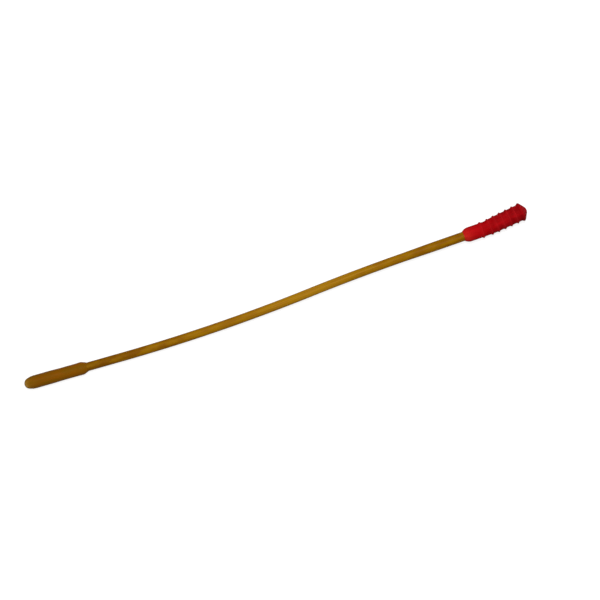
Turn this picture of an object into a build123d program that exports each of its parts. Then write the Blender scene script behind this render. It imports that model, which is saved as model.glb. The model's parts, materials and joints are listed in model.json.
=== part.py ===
from build123d import *
from math import acos, asin, atan2, degrees, radians
import os

# Wand of a rhythmic gymnastics ribbon: a bowed resin rod with a round-nosed sleeve glued on its
# thin end, and a ribbed elastomer grip, closed by a domed cap, glued on its thick end.
#
# Every piece is drawn in the wand's own layout: the tip of the nose is at the origin, the first
# straight run lies on +X, and all bends are in the XY plane. The pieces are then laid down
# together: +X runs from nose to butt, +Z is up, the tip sleeve and the grip's flange rest on
# z = 0, and the origin is the middle of the underside. Sizes are in mm and degrees, and a
# positive turn is counter-clockwise as seen from above.

# Centreline: straight runs and arcs, each tangent to the one before
TIP_RUN = 105.5          # straight, from the tip of the nose
BOW_LENGTH = 211.0
BOW_ANGLE = 6.1
RETURN_LENGTH = 105.5    # the bow eases back a little before the grip
RETURN_ANGLE = -2.7
NECK_RUN = 66.5          # straight, up to the front of the grip
COLLAR_RUN = 21.4        # straight, the front of the grip with its first rib
WRIST_LENGTH = 7.6       # the short bend inside the grip, behind that rib
WRIST_ANGLE = 6.0

# Rod
ROD_DIA = 9.3
ROD_BUTT_DIA = 10.0
ROD_TAPER_LENGTH = 30.0  # from one diameter to the other, at the start of the neck
ROD_CHAMFER = 0.6

# Clearances
GLUE_GAP = 0.05          # radial, between the rod or the cap's stem and its bore
END_GAP = 0.5            # between an end of the rod and what it faces

# Tip sleeve
SLEEVE_DIA = 14.0
NOSE_LENGTH = 8.0
NOSE_RADIUS = 5.8        # ball at the front of the nose
NOSE_WALL = 11.0         # solid ahead of the blind bore
BAND_LENGTH = 22.0       # true cylinder behind the nose, where a ribbon ring slides on
TAPER_LENGTH = 10.0      # behind the band, down to the waist
WAIST_DIA = 13.5
WAIST_LENGTH = 19.0
BEAD_RISE = 1.2          # length of the bead's front slope
BEAD_DIA = 13.8
BEAD_LENGTH = 3.4
SHOULDER_LENGTH = 4.9    # tapers the sleeve down to the rod
MOUTH_WALL = 0.35        # what the shoulder leaves around the bore

# Grip: collar and wrist
COLLAR_NOSE_LENGTH = 6.0
COLLAR_NOSE_BULGE = 0.5  # how far the middle of the nose stands out from a plain cone
COLLAR_LIP_WALL = 0.45   # around the bore at the front face
WRIST_DIA = 15.5         # the collar behind its nose has this diameter too

# Grip: ribbed handle
HANDLE_FRONT_DIA = 16.7
HANDLE_BACK_DIA = 17.6
RIB_COUNT = 6
RIB_PITCH = 7.3
FIRST_RIB_GAP = 9.0      # the first rib stands a little apart, on the collar
RIB_HEIGHT = 1.2
RIB_CREST = 0.8          # width of the flat on top
RIB_FLANK = 1.0          # length of the slope on each side of the crest
FLANK_SINK = 0.05        # a slope starts this far under the surface that carries it
FLANGE_DIA = 20.2
FLANGE_WIDTH = 1.4
FLANGE_FLANK = 1.5
FLANGE_CHAMFER = 0.3

# Butt cap
CAP_DIA = 18.9
CAP_EDGE = 0.6           # straight edge under the dome
CAP_HEIGHT = 5.6
CAP_CROWN_RADIUS = 6.0   # ball at the top of the dome
STEM_LENGTH = 10.0
STEM_CHAMFER = 0.8

# Worked out from the sizes above
SLEEVE_BORE_DIA = ROD_DIA + 2 * GLUE_GAP
GRIP_BORE_DIA = ROD_BUTT_DIA + 2 * GLUE_GAP
STEM_DIA = GRIP_BORE_DIA - 2 * GLUE_GAP
HANDLE_RUN = (RIB_COUNT - 1) * RIB_PITCH + FLANGE_WIDTH / 2


def line_after(run, length):
    """Straight run that goes on from the end of another."""
    return Line(run @ 1, run @ 1 + (run % 1) * length)


def arc_after(run, length, turn):
    """Arc that goes on from the end of another run."""
    return JernArc(run @ 1, run % 1, radius=length / radians(abs(turn)), arc_size=turn)


TIP = Line((0, 0), (TIP_RUN, 0))
BOW = arc_after(TIP, BOW_LENGTH, BOW_ANGLE)
RETURN = arc_after(BOW, RETURN_LENGTH, RETURN_ANGLE)
NECK = line_after(RETURN, NECK_RUN)
COLLAR = line_after(NECK, COLLAR_RUN)
WRIST = arc_after(COLLAR, WRIST_LENGTH, WRIST_ANGLE)
HANDLE = line_after(WRIST, HANDLE_RUN)
GRIP_RUNS = Wire([COLLAR, WRIST, HANDLE])


def place_on(run, distance):
    """Place on a run of the centreline: +X towards the butt, +Z up."""
    point = run.position_at(distance, position_mode=PositionMode.LENGTH)
    along = run.tangent_at(distance, position_mode=PositionMode.LENGTH)
    return Plane(origin=point, x_dir=along, z_dir=(0, 0, 1)).location


def bar_along(runs, diameter):
    """Round bar of one diameter along runs of the centreline."""
    path = Wire(runs)
    return sweep(Plane(origin=path @ 0, z_dir=path % 0) * Circle(diameter / 2), path=path)


def turned(*outline):
    """Solid turned about the X axis under an outline, whose two ends drop to that axis."""
    edges = [edge for piece in outline for edge in piece.edges()]
    upper = Wire(edges)
    start = upper @ 0
    end = upper @ 1
    corners = [end, Vector(end.X, 0), Vector(start.X, 0), start]
    sides = [Line(a, b) for a, b in zip(corners, corners[1:]) if a != b]
    return revolve(make_face([*edges, *sides]), axis=Axis.X)


def make_rod():
    """Rod: even along the bow, thicker from the neck on, to the end of its run in the grip."""
    front = Line((NOSE_WALL + END_GAP, 0), TIP @ 1)
    neck = Line(NECK.position_at(ROD_TAPER_LENGTH, position_mode=PositionMode.LENGTH), NECK @ 1)
    back = line_after(WRIST, HANDLE_RUN - STEM_LENGTH - END_GAP)
    thin = bar_along([front, BOW, RETURN], ROD_DIA)
    taper = turned(Line((0, ROD_DIA / 2), (ROD_TAPER_LENGTH, ROD_BUTT_DIA / 2)))
    thick = bar_along([neck, COLLAR, WRIST, back], ROD_BUTT_DIA)
    rod = thin + place_on(NECK, 0) * taper + thick
    rims = rod.edges().filter_by(GeomType.CIRCLE).sort_by(Axis.X)
    return chamfer([rims[0], rims[-1]], ROD_CHAMFER)


def ball_end(radius, corner):
    """Outline that leaves the origin round a ball and goes on straight to a corner."""
    from_centre = Vector(*corner) - Vector(radius, 0)
    touch = degrees(atan2(from_centre.Y, from_centre.X) + acos(radius / from_centre.length))
    ball = CenterArc((radius, 0), radius, touch, 180 - touch)
    return [ball, Line(ball @ 0, corner)]


def make_tip_sleeve():
    """Sleeve: ball nose, true band, taper to a waist, bead and shoulder, blind bore."""
    nose = ball_end(NOSE_RADIUS, (NOSE_LENGTH, SLEEVE_DIA / 2))
    band_end = NOSE_LENGTH + BAND_LENGTH
    taper_end = band_end + TAPER_LENGTH
    bead_start = taper_end + WAIST_LENGTH
    bead_end = bead_start + BEAD_RISE + BEAD_LENGTH
    mouth = bead_end + SHOULDER_LENGTH
    body = Polyline(
        (NOSE_LENGTH, SLEEVE_DIA / 2),
        (band_end, SLEEVE_DIA / 2),
        (taper_end, WAIST_DIA / 2),
        (bead_start, WAIST_DIA / 2),
        (bead_start + BEAD_RISE, BEAD_DIA / 2),
        (bead_end, BEAD_DIA / 2),
        (mouth, SLEEVE_BORE_DIA / 2 + MOUTH_WALL),
    )
    bore = turned(Line((NOSE_WALL, SLEEVE_BORE_DIA / 2), (mouth, SLEEVE_BORE_DIA / 2)))
    return turned(*nose, body) - bore


def rib_distance(number):
    """Place of a ring rib, counted from 0 at the front, measured from the back of the wrist."""
    if number == 0:
        return -FIRST_RIB_GAP
    return (number - 1) * RIB_PITCH


def valley_radius(number):
    """Radius of the grip behind a ring rib: the valleys are true cylinders, wider step by step."""
    if number < 1:
        return WRIST_DIA / 2
    flare = (HANDLE_BACK_DIA - HANDLE_FRONT_DIA) / 2
    return HANDLE_FRONT_DIA / 2 + flare * (number - 1) / (RIB_COUNT - 2)


def ring_rib(number):
    """Ring rib with a flat crest and a slope on each side."""
    half_crest = RIB_CREST / 2
    half_foot = half_crest + RIB_FLANK
    top = valley_radius(number) + RIB_HEIGHT
    outline = Polyline(
        (-half_foot, valley_radius(number - 1) - FLANK_SINK),
        (-half_crest, top),
        (half_crest, top),
        (half_foot, valley_radius(number) - FLANK_SINK),
    )
    return place_on(GRIP_RUNS, COLLAR_RUN + WRIST_LENGTH + rib_distance(number)) * turned(outline)


def make_collar():
    """Collar: the bullet-shaped front of the grip."""
    lip_radius = GRIP_BORE_DIA / 2 + COLLAR_LIP_WALL
    half_way = (COLLAR_NOSE_LENGTH / 2, (lip_radius + WRIST_DIA / 2) / 2 + COLLAR_NOSE_BULGE)
    nose_end = (COLLAR_NOSE_LENGTH, WRIST_DIA / 2)
    return turned(Polyline((0, lip_radius), half_way, nose_end, (COLLAR_RUN, WRIST_DIA / 2)))


def make_handle():
    """Handle: stepped valleys that flare towards the flange; the ribs come later."""
    outline = []
    for number in range(1, RIB_COUNT):
        outline += [(rib_distance(number), valley_radius(number))]
        outline += [(rib_distance(number + 1), valley_radius(number))]
    flange_front = HANDLE_RUN - FLANGE_WIDTH
    outline[-1] = (flange_front - FLANGE_FLANK, valley_radius(RIB_COUNT - 1))
    outline += [(flange_front, FLANGE_DIA / 2), (HANDLE_RUN, FLANGE_DIA / 2)]
    handle = turned(Polyline(*outline))
    rim = handle.edges().filter_by(GeomType.CIRCLE).sort_by(SortBy.RADIUS)[-2:]
    return chamfer(rim, FLANGE_CHAMFER)


def make_grip():
    """Grip: collar, bent wrist, flared handle with ring ribs and a flange, bored to its end."""
    grip = place_on(COLLAR, 0) * make_collar()
    grip += bar_along([WRIST], WRIST_DIA)
    grip += place_on(HANDLE, 0) * make_handle()
    grip += [ring_rib(number) for number in range(RIB_COUNT)]
    return grip - bar_along([COLLAR, WRIST, HANDLE], GRIP_BORE_DIA)


def make_butt_cap():
    """Cap: domed head against the flange, on a stem that plugs the grip's bore."""
    dome = ball_end(CAP_CROWN_RADIUS, (CAP_HEIGHT - CAP_EDGE, CAP_DIA / 2))
    head_and_stem = Polyline(
        (CAP_HEIGHT - CAP_EDGE, CAP_DIA / 2),
        (CAP_HEIGHT, CAP_DIA / 2),
        (CAP_HEIGHT, STEM_DIA / 2),
        (CAP_HEIGHT + STEM_LENGTH, STEM_DIA / 2),
    )
    cap = turned(*dome, head_and_stem)
    stem_end = cap.edges().filter_by(GeomType.CIRCLE).sort_by(Axis.X)[-1]
    turned_round = Pos(CAP_HEIGHT, 0, 0) * Rotation(0, 0, 180)
    return place_on(HANDLE, HANDLE_RUN) * turned_round * chamfer(stem_end, STEM_CHAMFER)


def resting_place(pieces):
    """Place that lays the whole wand down, as described at the top."""
    butt = HANDLE @ 1 + (HANDLE % 1) * CAP_HEIGHT
    rise = (FLANGE_DIA - SLEEVE_DIA) / 2 / ((HANDLE @ 1).length - NOSE_LENGTH)
    turn = Rotation(0, -degrees(asin(rise)), 0) * Rotation(0, 0, -degrees(atan2(butt.Y, butt.X)))
    box = Compound([turn * piece for piece in pieces]).bounding_box()
    return Location((-box.center().X, -box.center().Y, -box.min.Z)) * turn


PIECES = {
    "rod": make_rod(),
    "tip_sleeve": make_tip_sleeve(),
    "grip": make_grip(),
    "butt_cap": make_butt_cap(),
}
REST = resting_place(PIECES.values())

os.makedirs("parts", exist_ok=True)
for name, piece in PIECES.items():
    export_step(REST * piece, f"parts/{name}.step")
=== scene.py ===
import json
import math

import bpy
from mathutils import Matrix, Vector


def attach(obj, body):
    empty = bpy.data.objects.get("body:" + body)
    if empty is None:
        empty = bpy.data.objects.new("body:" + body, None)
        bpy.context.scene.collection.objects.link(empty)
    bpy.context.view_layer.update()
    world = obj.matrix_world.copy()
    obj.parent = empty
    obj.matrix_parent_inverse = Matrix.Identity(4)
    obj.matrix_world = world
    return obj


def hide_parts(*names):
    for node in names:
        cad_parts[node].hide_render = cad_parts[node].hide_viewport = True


# Looks of a rhythmic gymnastics ribbon wand: a bowed amber resin rod, a tip sleeve of the same
# resin, a red elastomer grip with ring ribs, and its domed cap.
#
# Every piece is drawn straight, as an outline of (distance, radius) points: the distance runs
# along the wand from the tip of the nose. One geometry tree turns an outline into a skin, raises
# the ring ribs on it and bends it along the wand's centreline. The wand's sizes, its outlines and
# the lens are in mm, and everything else is in metres. Angles are in degrees.

MM = 0.001

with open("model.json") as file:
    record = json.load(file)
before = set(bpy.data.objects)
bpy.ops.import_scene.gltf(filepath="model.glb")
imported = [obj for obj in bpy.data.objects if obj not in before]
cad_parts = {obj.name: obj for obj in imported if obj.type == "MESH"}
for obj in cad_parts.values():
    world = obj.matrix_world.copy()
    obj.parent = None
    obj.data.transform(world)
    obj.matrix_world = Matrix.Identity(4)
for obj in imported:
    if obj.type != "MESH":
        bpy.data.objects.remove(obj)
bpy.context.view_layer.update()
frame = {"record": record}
mounts = {mount["name"]: mount for mount in frame["record"]["mounts"]}

# Centreline: length and bend of each run, from the tip of the nose
RUNS = {
    "tip": (105.5, 0.0),
    "bow": (211.0, 6.1),
    "return": (105.5, -2.7),
    "neck": (66.5, 0.0),
    "collar": (21.4, 0.0),
    "wrist": (7.6, 6.0),
    "handle": (37.2, 0.0),
    "cap": (6.0, 0.0),
}
STEPS_PER_BEND = 24

# Tip sleeve
SLEEVE_RADIUS = 7.0
NOSE_LENGTH = 8.0
NOSE_ROUNDING = 5.8
NOSE_WALL = 11.0
BAND_LENGTH = 22.0
TAPER_LENGTH = 10.0
WAIST_RADIUS = 6.75
WAIST_LENGTH = 19.0
BEAD_RISE = 1.2
BEAD_RADIUS = 6.9
BEAD_LENGTH = 3.4
SHOULDER_LENGTH = 4.9
MOUTH_WALL = 0.35
NOSE_BLEND = 18.0
TAPER_BLEND = 60.0
BEAD_FOOT_BLEND = 2.0
BEAD_FRONT_BLEND = 1.5
BEAD_BACK_BLEND = 4.0
MOUTH_ROUNDING = 0.12

# Rod
ROD_RADIUS = 4.65
ROD_BUTT_RADIUS = 5.0
ROD_TAPER_LENGTH = 30.0
ROD_ROUNDING = 0.6
GLUE_GAP = 0.05
END_GAP = 0.5

# Grip
COLLAR_LIP_WALL = 0.45
COLLAR_NOSE_LENGTH = 6.0
COLLAR_NOSE_STEPS = 12
WRIST_RADIUS = 7.75
HANDLE_FRONT_RADIUS = 8.35
HANDLE_BACK_RADIUS = 8.8
RIB_COUNT = 6
RIB_PITCH = 7.3
FIRST_RIB_GAP = 9.0
RIB_HEIGHT = 1.2
RIB_HALF_WIDTH = 1.05
RIB_BELL_POWER = 1.8
LEAST_RIBBED_RADIUS = 0.97 * WRIST_RADIUS
FLANGE_RADIUS = 10.1
FLANGE_WIDTH = 1.4
FLANGE_FLANK = 1.5
WRIST_BLEND = 12.0
FLANK_BLEND = 2.2
FLANGE_FRONT_ROUNDING = 0.3
FLANGE_BACK_ROUNDING = 0.45

# Cap
CAP_RADIUS = 9.45
CAP_HEIGHT = 5.6
CAP_EDGE = 0.6
CAP_CROWN_RADIUS = 6.5
STEM_LENGTH = 10.0
CAP_EDGE_BLEND = 0.5
CAP_RIM_ROUNDING = 0.1
STEM_ROUNDING = 0.8

# Greatest gap between neighbouring points on the parts of an outline that are filled
SLEEVE_STEP = 1.5
ROD_STEP = 2.0
GRIP_STEP = 0.16
CAP_STEP = 0.4

# Turn from point to point round a ball end and round a rounded corner. A corner that is more
# open than the last angle stays one point.
ARC_STEP = 6.0
CORNER_STEP = 12.0
NEARLY_STRAIGHT = 179.0


# ---------------------------------------------------------------------------- centreline

def run_start(name):
    """Distance along the wand at which a run of the centreline starts."""
    names = list(RUNS)
    return sum(RUNS[before][0] for before in names[: names.index(name)])


GRIP_FRONT = run_start("collar")
HANDLE_START = run_start("handle")
FLANGE_BACK = HANDLE_START + RUNS["handle"][0]


def layout_place():
    """Matrix of the wand's own layout: origin at the tip of the nose, +X along the first run."""
    band = mounts["tip_band"]
    along = -Vector(band["axis"]).normalized()
    up = along.cross(Vector(mounts["hand_hold"]["axis"])).normalized()
    across = up.cross(along)
    origin = Vector(band["pos_m"]) - along * (NOSE_LENGTH + BAND_LENGTH / 2) * MM
    turn = Matrix((along, across, up)).transposed().to_4x4()
    return Matrix.Translation(origin) @ turn


def make_centreline(layout):
    """Curve of the wand's centreline: one point for each straight run, and many for a bend."""
    point = Vector((0, 0, 0))
    heading = 0.0
    points = [point.copy()]
    for length, bend in RUNS.values():
        steps = STEPS_PER_BEND if bend else 1
        for _ in range(steps):
            heading += math.radians(bend) / steps / 2
            point += Vector((math.cos(heading), math.sin(heading), 0)) * (length / steps * MM)
            heading += math.radians(bend) / steps / 2
            points.append(point.copy())
    curve = bpy.data.curves.new("centreline", "CURVE")
    curve.dimensions = "3D"
    spline = curve.splines.new("POLY")
    spline.points.add(len(points) - 1)
    for number, place in enumerate(points):
        spline.points[number].co = (*(layout @ place), 1)
    line = bpy.data.objects.new("centreline", curve)
    bpy.context.scene.collection.objects.link(line)
    return line


# ---------------------------------------------------------------------------- outlines

def straight(start, end, step):
    """Points from start to end, both included, no further apart than step."""
    start, end = Vector(start), Vector(end)
    count = max(1, math.ceil((end - start).length / step))
    return [tuple(start.lerp(end, number / count)) for number in range(count + 1)]


def arc(centre, radius, from_angle, to_angle):
    """Points of an arc, both ends included. Angles are counted from +X towards +Y."""
    turn = to_angle - from_angle
    count = max(2, math.ceil(abs(turn) / ARC_STEP))
    angles = [math.radians(from_angle + turn * number / count) for number in range(count + 1)]
    return [(centre[0] + radius * math.cos(a), centre[1] + radius * math.sin(a)) for a in angles]


def rounded(*corners):
    """Points of a broken line. A corner's third number is the radius that rounds it."""
    points = [tuple(corners[0][:2])]
    for before, corner, after in zip(corners, corners[1:], corners[2:]):
        here = Vector(corner[:2])
        radius = corner[2] if len(corner) > 2 else 0.0
        back = (Vector(before[:2]) - here).normalized()
        ahead = (Vector(after[:2]) - here).normalized()
        half = back.angle(ahead) / 2
        if radius == 0 or half > math.radians(NEARLY_STRAIGHT / 2):
            points.append(tuple(corner[:2]))
            continue
        centre = here + (back + ahead).normalized() * radius / math.sin(half)
        start = here + back * radius / math.tan(half) - centre
        end = here + ahead * radius / math.tan(half) - centre
        sweep = start.angle_signed(end)
        count = max(2, math.ceil(math.degrees(abs(sweep)) / CORNER_STEP))
        for number in range(count + 1):
            turn = Matrix.Rotation(-sweep * number / count, 2)
            points.append(tuple(centre + turn @ start))
    points.append(tuple(corners[-1][:2]))
    return points


def filled(points, step):
    """The same points, with more between them so that none are further apart than step."""
    dense = [points[0]]
    for start, end in zip(points, points[1:]):
        dense += straight(start, end, step)[1:]
    return dense


def ball_end(radius, corner):
    """Points from (0, 0) round a ball, up to where a straight line leaves it for the corner."""
    from_centre = Vector(corner) - Vector((radius, 0))
    lean = math.atan2(from_centre.y, from_centre.x)
    touch = math.degrees(lean + math.acos(radius / from_centre.length))
    return arc((radius, 0), radius, 180, touch)


def sleeve_outline():
    """Round nose, band, taper to the waist, bead and shoulder, and the blind bore."""
    band_end = NOSE_LENGTH + BAND_LENGTH
    taper_end = band_end + TAPER_LENGTH
    bead_start = taper_end + WAIST_LENGTH
    bead_end = bead_start + BEAD_RISE + BEAD_LENGTH
    mouth = bead_end + SHOULDER_LENGTH
    bore = ROD_RADIUS + GLUE_GAP
    nose = ball_end(NOSE_ROUNDING, (NOSE_LENGTH, SLEEVE_RADIUS))
    body = rounded(
        nose[-1],
        (NOSE_LENGTH, SLEEVE_RADIUS, NOSE_BLEND),
        (band_end, SLEEVE_RADIUS, TAPER_BLEND),
        (taper_end, WAIST_RADIUS, TAPER_BLEND),
        (bead_start, WAIST_RADIUS, BEAD_FOOT_BLEND),
        (bead_start + BEAD_RISE, BEAD_RADIUS, BEAD_FRONT_BLEND),
        (bead_end, BEAD_RADIUS, BEAD_BACK_BLEND),
        (mouth, bore + MOUTH_WALL, MOUTH_ROUNDING),
        (mouth, bore),
        (NOSE_WALL, bore),
        (NOSE_WALL, 0),
    )
    return nose + filled(body, SLEEVE_STEP)[1:]


def rod_outline():
    """Even rod with a rounded rim at each end, thicker from the neck on."""
    front = NOSE_WALL + END_GAP
    neck = run_start("neck")
    back = FLANGE_BACK - STEM_LENGTH - END_GAP
    bar = rounded(
        (front, 0),
        (front, ROD_RADIUS, ROD_ROUNDING),
        (neck, ROD_RADIUS),
        (neck + ROD_TAPER_LENGTH, ROD_BUTT_RADIUS),
        (back, ROD_BUTT_RADIUS, ROD_ROUNDING),
        (back, 0),
    )
    return filled(bar, ROD_STEP)


def rib_distance(number):
    """Distance of a ring rib, counted from 0 at the front. The first stands on the collar."""
    if number == 0:
        return HANDLE_START - FIRST_RIB_GAP
    return HANDLE_START + (number - 1) * RIB_PITCH


def grip_outline():
    """Bullet-shaped collar, wrist, flared handle and flange, and the bore through it all."""
    bore = ROD_BUTT_RADIUS + GLUE_GAP
    lip = bore + COLLAR_LIP_WALL
    nose_end = GRIP_FRONT + COLLAR_NOSE_LENGTH
    flange_front = FLANGE_BACK - FLANGE_WIDTH
    nose = []
    for number in range(COLLAR_NOSE_STEPS):
        share = number / COLLAR_NOSE_STEPS
        rise = (WRIST_RADIUS - lip) * math.sin(share * math.pi / 2)
        nose.append((GRIP_FRONT + COLLAR_NOSE_LENGTH * share, lip + rise))
    body = rounded(
        (nose_end, WRIST_RADIUS),
        (HANDLE_START - RIB_PITCH / 2, WRIST_RADIUS, WRIST_BLEND),
        (HANDLE_START + RIB_PITCH / 2, HANDLE_FRONT_RADIUS, WRIST_BLEND),
        (flange_front - FLANGE_FLANK, HANDLE_BACK_RADIUS, FLANK_BLEND),
        (flange_front, FLANGE_RADIUS, FLANGE_FRONT_ROUNDING),
        (FLANGE_BACK, FLANGE_RADIUS, FLANGE_BACK_ROUNDING),
        (FLANGE_BACK, bore),
    )
    through = [(FLANGE_BACK, bore), (GRIP_FRONT, bore)]
    return [(GRIP_FRONT, bore), *nose, *filled(body, GRIP_STEP), *through]


def cap_outline():
    """Domed head on a stem. It is drawn from the top of the dome down, and then turned round."""
    head = CAP_HEIGHT - CAP_EDGE
    dome = ball_end(CAP_CROWN_RADIUS, (head, CAP_RADIUS))
    rest = rounded(
        dome[-1],
        (head, CAP_RADIUS, CAP_EDGE_BLEND),
        (CAP_HEIGHT, CAP_RADIUS, CAP_RIM_ROUNDING),
        (CAP_HEIGHT, ROD_BUTT_RADIUS),
        (CAP_HEIGHT + STEM_LENGTH, ROD_BUTT_RADIUS, STEM_ROUNDING),
        (CAP_HEIGHT + STEM_LENGTH, 0),
    )
    outline = dome + filled(rest, CAP_STEP)[1:]
    return [(FLANGE_BACK + CAP_HEIGHT - along, out) for along, out in reversed(outline)]


# ---------------------------------------------------------------------------- geometry tree

class Tree:
    """Small helper that adds nodes to a node tree and wires them by socket."""

    def __init__(self, tree):
        self.tree = tree

    def add(self, kind, settings=None, **wires):
        """Adds a node. A wire is keyed by its socket's name, spaces as underscores, or by _number."""
        node = self.tree.nodes.new(kind)
        for key, value in (settings or {}).items():
            setattr(node, key, value)
        for key, value in wires.items():
            self.wire(node, key, value)
        return node

    def wire(self, node, key, value):
        """Gives a value to a node's input, or links an output to it."""
        if key.startswith("_"):
            socket = node.inputs[int(key[1:])]
        else:
            socket = node.inputs[key.replace("_", " ")]
        if isinstance(value, bpy.types.NodeSocket):
            self.tree.links.new(value, socket)
        else:
            socket.default_value = value

    def math(self, operation, *values):
        """Math node's output."""
        wires = {f"_{number}": value for number, value in enumerate(values)}
        return self.add("ShaderNodeMath", {"operation": operation}, **wires).outputs[0]

    def vector_math(self, operation, *values, out=0, **wires):
        """Vector Math node's output."""
        wires.update({f"_{number}": value for number, value in enumerate(values)})
        return self.add("ShaderNodeVectorMath", {"operation": operation}, **wires).outputs[out]

    def use(self, group, **wires):
        """First output of a node group that is placed in this tree."""
        kinds = {"GeometryNodeTree": "GeometryNodeGroup", "ShaderNodeTree": "ShaderNodeGroup"}
        return self.add(kinds[group.bl_idname], {"node_tree": group}, **wires).outputs[0]


def new_group(name, kind, inputs, outputs):
    """Node group with its sockets: {name: (socket type, default)} in, {name: socket type} out."""
    group = bpy.data.node_groups.new(name, kind)
    for socket_name, (socket_type, default) in inputs.items():
        socket = group.interface.new_socket(socket_name, in_out="INPUT", socket_type=socket_type)
        if default is not None:
            socket.default_value = default
    for socket_name, socket_type in outputs.items():
        group.interface.new_socket(socket_name, in_out="OUTPUT", socket_type=socket_type)
    tree = Tree(group)
    return group, tree, tree.add("NodeGroupInput").outputs, tree.add("NodeGroupOutput")


def ring_rib_group():
    """Height of evenly spaced ring ribs at a distance along the wand: round crests, hollow flanks."""
    group, tree, given, result = new_group(
        "ring ribs",
        "GeometryNodeTree",
        {
            "Distance": ("NodeSocketFloat", 0.0),
            "First": ("NodeSocketFloat", 0.0),
            "Pitch": ("NodeSocketFloat", 0.007),
            "Count": ("NodeSocketInt", 0),
            "Height": ("NodeSocketFloat", 0.001),
            "Half Width": ("NodeSocketFloat", 0.0009),
            "Bell Power": ("NodeSocketFloat", 2.0),
        },
        {"Height": "NodeSocketFloat"},
    )
    steps = tree.math("DIVIDE", tree.math("SUBTRACT", given["Distance"], given["First"]), given["Pitch"])
    last = tree.math("SUBTRACT", given["Count"], 1.0)
    nearest = tree.math("MAXIMUM", tree.math("MINIMUM", tree.math("ROUND", steps), last), 0.0)
    steps_away = tree.math("ABSOLUTE", tree.math("SUBTRACT", steps, nearest))
    away = tree.math("MULTIPLY", steps_away, given["Pitch"])
    fall = tree.math("POWER", tree.math("DIVIDE", away, given["Half Width"]), given["Bell Power"])
    bell = tree.math("EXPONENT", tree.math("MULTIPLY", fall, -1.0))
    any_ribs = tree.math("MINIMUM", given["Count"], 1.0)
    height = tree.math("MULTIPLY", tree.math("MULTIPLY", bell, given["Height"]), any_ribs)
    tree.wire(result, "_0", height)
    return group


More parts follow.
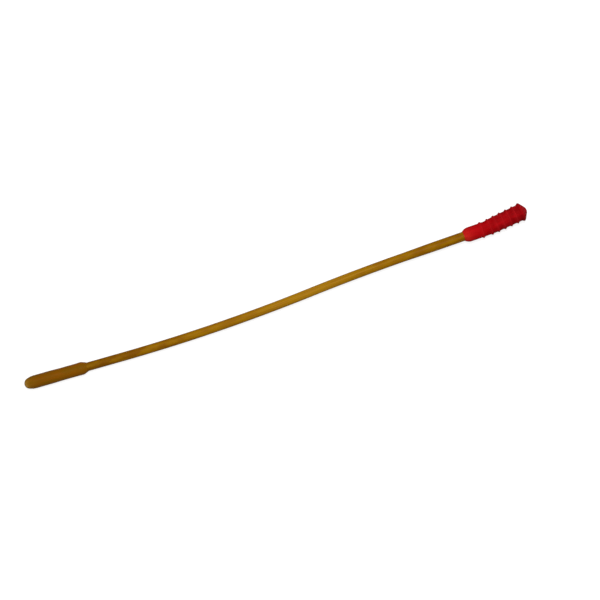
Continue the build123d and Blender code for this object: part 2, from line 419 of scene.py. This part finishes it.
def wand_tree(ribs):
    """Turns an outline into a skin, raises ring ribs on it and bends it along the centreline."""
    group, tree, given, result = new_group(
        "turned and bent",
        "GeometryNodeTree",
        {
            "Outline": ("NodeSocketGeometry", None),
            "Centreline": ("NodeSocketObject", None),
            "Bow Normal": ("NodeSocketVector", (0, 0, 1)),
            "Segments": ("NodeSocketInt", 64),
            "Crease": ("NodeSocketFloat", math.radians(40)),
            "First Rib": ("NodeSocketFloat", 0.0),
            "Second Rib": ("NodeSocketFloat", 0.0),
            "Rib Pitch": ("NodeSocketFloat", 0.007),
            "Rib Count": ("NodeSocketInt", 0),
            "Rib Height": ("NodeSocketFloat", 0.001),
            "Rib Half Width": ("NodeSocketFloat", 0.0009),
            "Rib Bell Power": ("NodeSocketFloat", 2.0),
            "Least Ribbed Radius": ("NodeSocketFloat", 0.0),
            "Merge Distance": ("NodeSocketFloat", 0.000002),
            "Finish": ("NodeSocketMaterial", None),
        },
        {"Piece": "NodeSocketGeometry"},
    )
    # One row of the skin for each outline point, one column for each step round the wand
    size = tree.add("GeometryNodeAttributeDomainSize", {"component": "MESH"}, Geometry=given["Outline"])
    columns = tree.math("ADD", given["Segments"], 1)
    grid = tree.add("GeometryNodeMeshGrid", Vertices_X=size.outputs["Point Count"], Vertices_Y=columns)
    index = tree.add("GeometryNodeInputIndex").outputs[0]
    row = tree.math("FLOOR", tree.math("DIVIDE", tree.math("ADD", index, 0.5), columns))
    column = tree.math("SUBTRACT", index, tree.math("MULTIPLY", row, columns))
    angle = tree.math("MULTIPLY", tree.math("DIVIDE", column, given["Segments"]), 2 * math.pi)
    outline_point = tree.add(
        "GeometryNodeSampleIndex",
        {"data_type": "FLOAT_VECTOR", "domain": "POINT"},
        Geometry=given["Outline"],
        Value=tree.add("GeometryNodeInputPosition").outputs[0],
        Index=row,
    )
    split = tree.add("ShaderNodeSeparateXYZ", _0=outline_point.outputs["Value"]).outputs
    distance, bare_radius = split["X"], split["Y"]

    # Ring ribs: one apart on the collar, the others evenly on the handle
    rib_sizes = {
        "Distance": distance,
        "Pitch": given["Rib Pitch"],
        "Height": given["Rib Height"],
        "Half_Width": given["Rib Half Width"],
        "Bell_Power": given["Rib Bell Power"],
    }
    first = tree.math("MINIMUM", given["Rib Count"], 1)
    others = tree.math("SUBTRACT", given["Rib Count"], 1)
    apart = tree.use(ribs, First=given["First Rib"], Count=first, **rib_sizes)
    even = tree.use(ribs, First=given["Second Rib"], Count=others, **rib_sizes)
    rise = tree.math("MAXIMUM", apart, even)
    crest = tree.math("DIVIDE", rise, given["Rib Height"])
    on_outside = tree.math("GREATER_THAN", bare_radius, given["Least Ribbed Radius"])
    radius = tree.math("ADD", bare_radius, tree.math("MULTIPLY", rise, on_outside))

    # Bend along the centreline
    line = tree.add(
        "GeometryNodeObjectInfo",
        {"transform_space": "ORIGINAL"},
        Object=given["Centreline"],
    )
    sample = tree.add(
        "GeometryNodeSampleCurve",
        {"mode": "LENGTH", "use_all_curves": False},
        Curves=line.outputs["Geometry"],
        Length=distance,
    )
    normal = given["Bow Normal"]
    side = tree.vector_math("CROSS_PRODUCT", normal, sample.outputs["Tangent"])
    upward = tree.math("MULTIPLY", radius, tree.math("COSINE", angle))
    sideways = tree.math("MULTIPLY", radius, tree.math("SINE", angle))
    off_line = tree.vector_math(
        "ADD",
        tree.vector_math("SCALE", normal, Scale=upward),
        tree.vector_math("SCALE", side, Scale=sideways),
    )
    bent = tree.vector_math("ADD", sample.outputs["Position"], off_line)
    skin = tree.add("GeometryNodeSetPosition", Geometry=grid.outputs["Mesh"], Position=bent)

    # Keep for the finishes: each point's place on the straight wand, and how far up a rib it is
    unbent = tree.add("ShaderNodeCombineXYZ", X=distance, Y=sideways, Z=upward)
    placed = tree.add(
        "GeometryNodeStoreNamedAttribute",
        {"data_type": "FLOAT_VECTOR", "domain": "POINT"},
        Geometry=skin.outputs[0],
        Name="unbent",
        Value=unbent.outputs[0],
    )
    crested = tree.add(
        "GeometryNodeStoreNamedAttribute",
        {"data_type": "FLOAT", "domain": "POINT"},
        Geometry=placed.outputs[0],
        Name="crest",
        Value=crest,
    )

    # Close the seam and the poles, crease the sharp rims
    closed = tree.add(
        "GeometryNodeMergeByDistance",
        Geometry=crested.outputs[0],
        Distance=given["Merge Distance"],
    )
    smooth = tree.add("GeometryNodeSetShadeSmooth", {"domain": "FACE"}, Geometry=closed.outputs[0])
    edge_angle = tree.add("GeometryNodeInputMeshEdgeAngle").outputs["Unsigned Angle"]
    creased = tree.add(
        "GeometryNodeSetShadeSmooth",
        {"domain": "EDGE"},
        Geometry=smooth.outputs[0],
        Shade_Smooth=tree.math("LESS_THAN", edge_angle, given["Crease"]),
    )
    real = tree.add("GeometryNodeRealizeInstances", Geometry=creased.outputs[0])
    finished = tree.add("GeometryNodeSetMaterial", Geometry=real.outputs[0], Material=given["Finish"])
    tree.wire(result, "_0", finished.outputs[0])
    return group


def set_inputs(modifier, values):
    """Sets a Geometry Nodes modifier's inputs by their sockets' identifiers."""
    items = modifier.node_group.interface.items_tree
    sockets = {item.name: item.identifier for item in items if item.in_out == "INPUT"}
    for name, value in values.items():
        modifier[sockets[name]] = value


def make_piece(name, outline, tree, values):
    """Plain mesh object that the tree makes from an outline, its faces outwards."""
    points = [(along * MM, out * MM, 0) for along, out in outline]
    edges = [(number, number + 1) for number in range(len(points) - 1)]
    mesh = bpy.data.meshes.new(name + " outline")
    mesh.from_pydata(points, edges, [])
    source = bpy.data.objects.new(name + " outline", mesh)
    bpy.context.scene.collection.objects.link(source)
    modifier = source.modifiers.new("shape", "NODES")
    modifier.node_group = tree
    set_inputs(modifier, values)
    depsgraph = bpy.context.evaluated_depsgraph_get()
    shape = bpy.data.meshes.new_from_object(source.evaluated_get(depsgraph))
    shape.name = name
    bpy.data.objects.remove(source)
    piece = bpy.data.objects.new(name, shape)
    bpy.context.scene.collection.objects.link(piece)
    return piece


# ---------------------------------------------------------------------------- finishes

def linear(red, green, blue):
    """Scene colour of an sRGB colour given as 0 to 255."""
    def one(value):
        value /= 255
        return value / 12.92 if value <= 0.04045 else ((value + 0.055) / 1.055) ** 2.4
    return (one(red), one(green), one(blue), 1.0)


def streak_group():
    """Fine streaks along the wand, 0 to 1, such as glass fibres in resin or flow lines in rubber."""
    group, tree, given, result = new_group(
        "streaks",
        "ShaderNodeTree",
        {
            "Place": ("NodeSocketVector", (0, 0, 0)),
            "Per Metre Along": ("NodeSocketFloat", 12.0),
            "Per Metre Across": ("NodeSocketFloat", 900.0),
            "Contrast": ("NodeSocketFloat", 3.0),
        },
        {"Streaks": "NodeSocketFloat"},
    )
    across = given["Per Metre Across"]
    scale = tree.add("ShaderNodeCombineXYZ", X=given["Per Metre Along"], Y=across, Z=across)
    stretched = tree.vector_math("MULTIPLY", given["Place"], scale.outputs[0])
    noise = tree.add("ShaderNodeTexNoise", Vector=stretched, Scale=1.0, Detail=3.0, Roughness=0.6)
    centred = tree.math("SUBTRACT", noise.outputs["Fac"], 0.5)
    contrasted = tree.math("MULTIPLY", centred, given["Contrast"])
    level = tree.add("ShaderNodeMath", {"operation": "ADD", "use_clamp": True}, _0=contrasted, _1=0.5)
    tree.wire(result, "_0", level.outputs[0])
    return group


def cloud_group():
    """Soft patches, 0 to 1, a little longer along the wand than across it."""
    group, tree, given, result = new_group(
        "clouds",
        "ShaderNodeTree",
        {
            "Place": ("NodeSocketVector", (0, 0, 0)),
            "Patch Length": ("NodeSocketFloat", 0.012),
            "Patch Width": ("NodeSocketFloat", 0.006),
            "Clear Below": ("NodeSocketFloat", 0.32),
            "Full Above": ("NodeSocketFloat", 0.68),
        },
        {"Clouds": "NodeSocketFloat"},
    )
    across = given["Patch Width"]
    size = tree.add("ShaderNodeCombineXYZ", X=given["Patch Length"], Y=across, Z=across)
    scaled = tree.vector_math("DIVIDE", given["Place"], size.outputs[0])
    noise = tree.add("ShaderNodeTexNoise", Vector=scaled, Scale=1.0, Detail=2.0, Roughness=0.55)
    level = tree.add(
        "ShaderNodeMapRange",
        {"interpolation_type": "SMOOTHSTEP"},
        Value=noise.outputs["Fac"],
        From_Min=given["Clear Below"],
        From_Max=given["Full Above"],
    )
    tree.wire(result, "_0", level.outputs[0])
    return group


def skin_group():
    """Height of a moulded skin, in metres: fine pores over low waves."""
    group, tree, given, result = new_group(
        "moulded skin",
        "ShaderNodeTree",
        {
            "Place": ("NodeSocketVector", (0, 0, 0)),
            "Pore Size": ("NodeSocketFloat", 0.0003),
            "Pore Height": ("NodeSocketFloat", 0.00002),
            "Wave Size": ("NodeSocketFloat", 0.004),
            "Wave Height": ("NodeSocketFloat", 0.00005),
        },
        {"Height": "NodeSocketFloat"},
    )

    def layer(size, height, detail):
        scale = tree.math("DIVIDE", 1.0, size)
        noise = tree.add("ShaderNodeTexNoise", Vector=given["Place"], Scale=scale, Detail=detail)
        return tree.math("MULTIPLY", noise.outputs["Fac"], height)

    pores = layer(given["Pore Size"], given["Pore Height"], detail=1.0)
    waves = layer(given["Wave Size"], given["Wave Height"], detail=0.0)
    tree.wire(result, "_0", tree.math("ADD", pores, waves))
    return group


STREAKS = streak_group()
CLOUDS = cloud_group()
SKIN = skin_group()


def new_material(name, specular):
    """Material, its tree, its Principled shader, and each point's place on the straight wand."""
    material = bpy.data.materials.new(name)
    material.use_nodes = True
    tree = Tree(material.node_tree)
    shader = material.node_tree.nodes["Principled BSDF"]
    shader.inputs["Specular IOR Level"].default_value = specular
    place = tree.add("ShaderNodeAttribute", {"attribute_name": "unbent"}).outputs["Vector"]
    return material, tree, shader, place


def tinted(tree, base, mask, share, tint):
    """Colour that goes from the base towards a tint, by a share of the way where the mask is 1."""
    factor = tree.math("MULTIPLY", mask, share)
    return tree.add("ShaderNodeMix", {"data_type": "RGBA"}, _0=factor, _6=base, _7=tint).outputs[2]


def along_ramp(tree, place, stops):
    """Colour that changes along the wand, from stops of (distance in mm, colour)."""
    first, last = stops[0][0], stops[-1][0]
    distance = tree.add("ShaderNodeSeparateXYZ", _0=place).outputs["X"]
    share = tree.add("ShaderNodeMapRange", Value=distance, From_Min=first * MM, From_Max=last * MM)
    ramp = tree.add("ShaderNodeValToRGB", _0=share.outputs[0])
    elements = ramp.color_ramp.elements
    ramp.color_ramp.interpolation = "B_SPLINE"
    for number, (distance_mm, colour) in enumerate(stops):
        element = elements[number] if number < 2 else elements.new(1.0)
        element.position = (distance_mm - first) / (last - first)
        element.color = colour
    return ramp.outputs["Color"]


def set_roughness(tree, shader, mask, least, gain):
    """Roughness of the shader: the least where the mask is 0, and more by the gain where it is 1."""
    tree.wire(shader, "Roughness", tree.math("MULTIPLY_ADD", mask, gain, least))


def raise_skin(tree, shader, height, strength):
    """Bumps the shader's surface by a height in metres."""
    bump = tree.add("ShaderNodeBump", Strength=strength, Distance=1.0, Height=height)
    tree.wire(shader, "Normal", bump.outputs[0])


def amber_rod():
    """Glass-fibre rod: amber resin, clouded, with fibres along it. Palest past half way, partly the
    resin's own tint and partly a painted highlight.
    """
    material, tree, shader, place = new_material("amber fibre rod", specular=0.03)
    # Lighter past half way, partly the resin's own tint and partly a painted highlight that is palest at
    # 320 mm
    amber = along_ramp(
        tree,
        place,
        [
            (0, linear(110, 68, 0)),
            (90, linear(116, 71, 1)),
            (170, linear(144, 94, 5)),
            (253, linear(162, 112, 14)),
            # Painted highlight mid-run
            (320, linear(186, 136, 30)),
            (380, linear(162, 112, 10)),
            (464, linear(132, 82, 1)),
            (560, linear(126, 79, 0)),
        ],
    )
    fibres = tree.use(STREAKS, Place=place, Per_Metre_Along=14.0, Per_Metre_Across=1100.0)
    patches = tree.use(CLOUDS, Place=place, Patch_Length=0.016, Patch_Width=0.006)
    shade = tinted(tree, amber, fibres, share=0.55, tint=linear(112, 60, 0))
    clouded = tinted(tree, shade, patches, share=0.45, tint=linear(168, 123, 2))
    tree.wire(shader, "Base_Color", clouded)
    set_roughness(tree, shader, fibres, least=0.4, gain=0.12)
    skin = tree.use(
        SKIN,
        Place=place,
        Pore_Size=0.0006,
        Pore_Height=0.000004,
        Wave_Size=0.006,
        Wave_Height=0.00003,
    )
    fibre_height = 0.000012
    height = tree.math("MULTIPLY_ADD", fibres, fibre_height, skin)
    raise_skin(tree, shader, height, strength=0.6)
    return material


def amber_sleeve():
    """Tip sleeve: the same resin, thicker and browner, clouded, with a painted highlight at the very
    tip.
    """
    material, tree, shader, place = new_material("amber tip sleeve", specular=0.03)
    amber = along_ramp(
        tree,
        place,
        [
            # Painted highlight: the first few mm of the nose pale to a light straw
            (0, linear(196, 160, 92)),
            (3.5, linear(164, 122, 34)),
            (8, linear(122, 76, 1)),
            (22, linear(120, 73, 0)),
            (35, linear(128, 78, 0)),
            (62, linear(132, 78, 1)),
            (70, linear(128, 80, 1)),
        ],
    )
    patches = tree.use(CLOUDS, Place=place, Patch_Length=0.014, Patch_Width=0.005)
    fibres = tree.use(STREAKS, Place=place, Per_Metre_Along=30.0, Per_Metre_Across=600.0)
    clouded = tinted(tree, amber, patches, share=0.6, tint=linear(106, 80, 0))
    shade = tinted(tree, clouded, fibres, share=0.35, tint=linear(140, 70, 4))
    tree.wire(shader, "Base_Color", shade)
    set_roughness(tree, shader, patches, least=0.38, gain=0.12)
    skin = tree.use(
        SKIN,
        Place=place,
        Pore_Size=0.0005,
        Pore_Height=0.000006,
        Wave_Size=0.005,
        Wave_Height=0.00005,
    )
    raise_skin(tree, shader, skin, strength=0.6)
    return material


def red_moulding(name, stops, patch):
    """Elastomer or plastic: satin red, softly clouded, fine pores, with a painted highlight on the rib
    crests.
    """
    material, tree, shader, place = new_material(name, specular=0.012)
    red = along_ramp(tree, place, stops)
    patches = tree.use(CLOUDS, Place=place, Patch_Length=0.009, Patch_Width=0.006)
    flow = tree.use(STREAKS, Place=place, Per_Metre_Along=60.0, Per_Metre_Across=500.0)
    crest = tree.add("ShaderNodeAttribute", {"attribute_name": "crest"}).outputs["Fac"]
    clouded = tinted(tree, red, patches, share=0.6, tint=patch)
    streaked = tinted(tree, clouded, flow, share=0.35, tint=linear(130, 4, 6))
    # Painted highlight: the rib crests pale towards a light pink, as a lamp's gleam on them
    crest_highlight = tinted(tree, streaked, tree.math("SQRT", crest), share=0.19, tint=linear(223, 41, 46))
    tree.wire(shader, "Base_Color", crest_highlight)
    set_roughness(tree, shader, patches, least=0.52, gain=0.1)
    skin = tree.use(
        SKIN,
        Place=place,
        Pore_Size=0.00025,
        Pore_Height=0.00002,
        Wave_Size=0.003,
        Wave_Height=0.00004,
    )
    raise_skin(tree, shader, skin, strength=0.7)
    return material


# Along the grip: lighter at the collar's front, darker towards the flange and lighter again at its back
# edge. This is partly the rubber's own tint and partly painted light and shade.
GRIP_TINT_AND_PAINTED_SHADE = [
    (GRIP_FRONT, linear(212, 47, 36)),
    (GRIP_FRONT + 8, linear(188, 17, 20)),
    (GRIP_FRONT + 20, linear(172, 4, 9)),
    (GRIP_FRONT + 38, linear(139, 4, 9)),
    (FLANGE_BACK - 2, linear(132, 4, 9)),
    (FLANGE_BACK, linear(160, 16, 24)),
]
# Along the cap: painted shade at its foot by the flange and a painted highlight over the dome, on top of
# the plastic's own red
CAP_RED_AND_PAINTED_LIGHT = [
    (FLANGE_BACK, linear(152, 14, 18)),
    (FLANGE_BACK + 2.5, linear(196, 32, 40)),
    (FLANGE_BACK + CAP_HEIGHT, linear(206, 40, 50)),
]


# ---------------------------------------------------------------------------- the wand

# Each piece's outline, its steps round the wand and its finish
PIECES = {
    "rod": (rod_outline(), 64, amber_rod()),
    "tip_sleeve": (sleeve_outline(), 96, amber_sleeve()),
    "grip": (
        grip_outline(),
        128,
        red_moulding("red grip elastomer", GRIP_TINT_AND_PAINTED_SHADE, linear(186, 13, 20)),
    ),
    "butt_cap": (
        cap_outline(),
        96,
        red_moulding("red cap plastic", CAP_RED_AND_PAINTED_LIGHT, linear(165, 14, 18)),
    ),
}
# Ring ribs, which only the grip has
RIBS = {
    "First Rib": rib_distance(0) * MM,
    "Second Rib": rib_distance(1) * MM,
    "Rib Pitch": RIB_PITCH * MM,
    "Rib Count": RIB_COUNT,
    "Rib Height": RIB_HEIGHT * MM,
    "Rib Half Width": RIB_HALF_WIDTH * MM,
    "Rib Bell Power": RIB_BELL_POWER,
    "Least Ribbed Radius": LEAST_RIBBED_RADIUS * MM,
}

layout = layout_place()
centreline = make_centreline(layout)
bow_normal = tuple((layout.to_3x3() @ Vector((0, 0, 1))).normalized())
shape_tree = wand_tree(ring_rib_group())
for name, (outline, segments, finish) in PIECES.items():
    values = {
        "Centreline": centreline,
        "Bow Normal": bow_normal,
        "Segments": segments,
        "Finish": finish,
    }
    if name == "grip":
        values.update(RIBS)
    piece = make_piece("wand_" + name, outline, shape_tree, values)
    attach(piece, "root")
    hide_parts(name)
bpy.data.objects.remove(centreline)


# ---------------------------------------------------------------------------- floor, light, camera

# The floor's glow rises to plain white with the distance from the wand
FLOOR_REACH = 4.0
FLOOR_GREY = 0.3
GLOW_BY_WAND = 0.85
GLOW_RISES_FROM = 0.4
GLOW_IS_WHITE_FROM = 1.1

# Brightness of the room's own light, and two soft lamps, with their powers in watts
AMBIENT = 0.24
KEY = {"place": (0.15, 0.45, 1.65), "target": (0, 0, 0), "size": 0.45, "power": 23.0}
FILL = {"place": (-0.8, -0.65, 1.1), "target": (-0.2, 0, 0), "size": 0.6, "power": 2.0}

# The camera looks straight down, turned so that the wand rises to the right
CAMERA_TURN = 19.25
CAMERA_LENS = 100.0
VIEW_WIDTH = 0.632
AIM = Vector((0.0236, -0.009, 0.008))


def seen_white(tree):
    """1 for rays that look at the background, straight, in a gloss or through, and otherwise 0."""
    path = tree.add("ShaderNodeLightPath").outputs
    camera_or_gloss = tree.math("MAXIMUM", path["Is Camera Ray"], path["Is Glossy Ray"])
    return tree.math("MAXIMUM", camera_or_gloss, path["Is Transmission Ray"])


def pale_floor():
    """White to look at, with a faint shadow. It throws little light back at the wand."""
    material = bpy.data.materials.new("pale floor")
    material.use_nodes = True
    tree = Tree(material.node_tree)
    material.node_tree.nodes.remove(material.node_tree.nodes["Principled BSDF"])
    matt = tree.add("ShaderNodeBsdfDiffuse", Color=(FLOOR_GREY, FLOOR_GREY, FLOOR_GREY, 1))
    place = tree.add("ShaderNodeTexCoord").outputs["Object"]
    strength = tree.add(
        "ShaderNodeMapRange",
        Value=tree.vector_math("LENGTH", place, out=1),
        From_Min=GLOW_RISES_FROM,
        From_Max=GLOW_IS_WHITE_FROM,
        To_Min=GLOW_BY_WAND,
        To_Max=1.0,
    )
    glow = tree.add("ShaderNodeEmission", Color=(1, 1, 1, 1), Strength=strength.outputs[0])
    seen = tree.add("ShaderNodeAddShader", _0=matt.outputs[0], _1=glow.outputs[0])
    both = tree.add("ShaderNodeMixShader", _0=seen_white(tree), _1=matt.outputs[0], _2=seen.outputs[0])
    tree.wire(material.node_tree.nodes["Material Output"], "Surface", both.outputs[0])
    return material


def make_floor():
    """Wide flat floor under the wand."""
    corners = [(x * FLOOR_REACH, y * FLOOR_REACH, 0) for x, y in [(-1, -1), (1, -1), (1, 1), (-1, 1)]]
    mesh = bpy.data.meshes.new("floor")
    mesh.from_pydata(corners, [], [(0, 1, 2, 3)])
    mesh.materials.append(pale_floor())
    floor = bpy.data.objects.new("floor", mesh)
    bpy.context.scene.collection.objects.link(floor)
    return floor


def white_world():
    """White to look at, and a low even light on the wand."""
    world = bpy.data.worlds.new("white room")
    world.use_nodes = True
    tree = Tree(world.node_tree)
    strength = tree.add("ShaderNodeMapRange", Value=seen_white(tree), To_Min=AMBIENT, To_Max=1.0)
    background = world.node_tree.nodes["Background"]
    background.inputs["Color"].default_value = (1, 1, 1, 1)
    tree.wire(background, "Strength", strength.outputs[0])
    return world


def softbox(name, place, target, size, power):
    """Square area light turned to a target."""
    light = bpy.data.lights.new(name, "AREA")
    light.energy = power
    light.size = size
    box = bpy.data.objects.new(name, light)
    box.location = place
    box.rotation_euler = (Vector(place) - Vector(target)).to_track_quat("Z", "Y").to_euler()
    bpy.context.scene.collection.objects.link(box)


def set_camera():
    """Camera high above the aim, as far up as its lens needs for the width of the view."""
    data = bpy.data.cameras.new("camera")
    data.lens = CAMERA_LENS
    camera = bpy.data.objects.new("camera", data)
    bpy.context.scene.collection.objects.link(camera)
    camera.location = AIM + Vector((0, 0, VIEW_WIDTH * CAMERA_LENS / data.sensor_width))
    camera.rotation_euler = (0, 0, -math.radians(CAMERA_TURN))
    bpy.context.scene.camera = camera


floor = make_floor()
bpy.context.scene.world = white_world()
softbox("key", **KEY)
softbox("fill", **FILL)
set_camera()
bpy.context.scene.view_settings.view_transform = "Standard"
